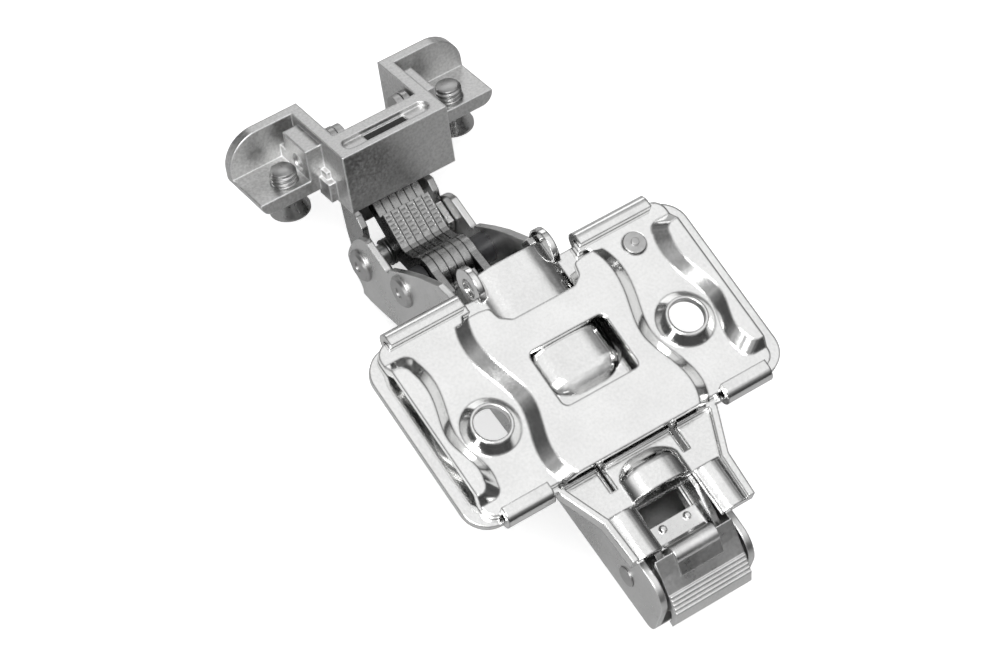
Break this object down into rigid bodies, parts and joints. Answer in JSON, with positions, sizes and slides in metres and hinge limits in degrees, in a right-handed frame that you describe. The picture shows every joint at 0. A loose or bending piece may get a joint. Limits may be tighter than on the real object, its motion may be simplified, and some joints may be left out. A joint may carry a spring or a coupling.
{
  "type": "concealed cabinet hinge with mounting plate",
  "caption": "Concealed cabinet hinge with cranked arm, two-link door boss for narrow frames, and a winged two-layer mounting plate.",
  "frame": {"origin": "midway between the two plate screw holes, on the mounting plane where the plate's back lies on the cabinet side", "axes": "+X toward the door along the arm, +Y across the plate along the line of the two screw holes, +Z out of the plate's back, into the cabinet side"},
  "size_m": [0.0935, 0.0516, 0.0347],
  "materials": {
    "nickel": "bright nickel-plated sheet steel",
    "steel": "plated steel, slightly duller",
    "cast": "nickel-plated zinc die casting, satin",
    "spring_steel": "dark oiled spring wire",
    "dark": "dark low-friction bush"
  },
  "bodies": {
    "plate": {"fixed_plate": "nickel"},
    "cam": {"height_cam": "steel"},
    "slide": {"slide_plate": "nickel", "clip_carrier": "nickel", "lever_pin": "steel", "lever_spring": "steel"},
    "lever": {"release_lever": "nickel"},
    "bracket": {"adjusting_bracket": "nickel", "arm_pivot_pin": "steel"},
    "depth_cam": {"depth_cam": "steel"},
    "side_screw": {"side_screw": "steel"},
    "arm": {"hinge_arm": "nickel", "front_link_pin": "steel", "rear_link_pin": "steel", "rear_bush_left": "dark", "rear_bush_right": "dark", "closing_spring": "spring_steel"},
    "outer_link": {"outer_link": "nickel"},
    "inner_link": {"inner_link_plate_1": "steel", "inner_link_plate_2": "steel", "inner_link_plate_3": "steel", "inner_link_plate_4": "steel", "inner_link_plate_5": "steel", "inner_link_plate_6": "steel", "inner_link_pin": "steel"},
    "boss": {"frame_boss": "cast", "outer_pivot_pin_left": "steel", "outer_pivot_pin_right": "steel", "clamp_screw_left": "steel", "clamp_screw_right": "steel"}
  },
  "joints": [
    {"name": "height_slide", "type": "slide", "parent": "plate", "child": "slide", "axis": [0, 1, 0], "range_m": [-0.002, 0.002]},
    {"name": "height_cam_turn", "type": "hinge", "parent": "plate", "child": "cam", "pos_m": [0.013, -0.0165, 0], "axis": [0, 0, 1], "range_deg": [-50.5, 50.5]},
    {"name": "release_lever_press", "type": "hinge", "parent": "slide", "child": "lever", "pos_m": [-0.0258, 0, -0.0084], "axis": [0, 1, 0], "range_deg": [-12, 0], "stiffness_Nm_per_rad": 0.05, "springref_deg": 8.59},
    {"name": "depth_slide", "type": "slide", "parent": "slide", "child": "bracket", "axis": [1, 0, 0], "range_m": [-0.0015, 0.0015]},
    {"name": "side_tilt", "type": "hinge", "parent": "bracket", "child": "arm", "pos_m": [-0.024, 0, -0.013], "axis": [0, 1, 0], "range_deg": [-2.5, 2.5]},
    {"name": "depth_cam_turn", "type": "hinge", "parent": "bracket", "child": "depth_cam", "pos_m": [0.009, 0, -0.0112], "axis": [0, 0, 1], "range_deg": [-49, 49]},
    {"name": "side_screw_turn", "type": "hinge", "parent": "arm", "child": "side_screw", "pos_m": [-0.002, 0, -0.0175], "axis": [0, 0, 1], "range_deg": [-350, 350]},
    {"name": "outer_link_turn", "type": "hinge", "parent": "arm", "child": "outer_link", "pos_m": [0.0387, 0, -0.0289], "axis": [0, 1, 0], "range_deg": [-1.5, 3.5]},
    {"name": "door_swing", "type": "hinge", "parent": "outer_link", "child": "boss", "pos_m": [0.05187, 0, -0.01441], "axis": [0, 1, 0], "range_deg": [-25, 59.4]},
    {"name": "inner_link_turn", "type": "hinge", "parent": "arm", "child": "inner_link", "pos_m": [0.02965, 0, -0.0213], "axis": [0, 1, 0], "range_deg": [-13.2, 6]}
  ],
  "couplings": [
    {"joint": "height_cam_turn", "follows": "height_slide", "rad_per_m": -438},
    {"joint": "depth_cam_turn", "follows": "depth_slide", "rad_per_m": 565},
    {"joint": "side_screw_turn", "follows": "side_tilt", "ratio": -138.2},
    {"joint": "outer_link_turn", "follows": "door_swing", "ratio": 0.0526},
    {"joint": "inner_link_turn", "follows": "door_swing", "ratio": -0.2158}
  ]
}
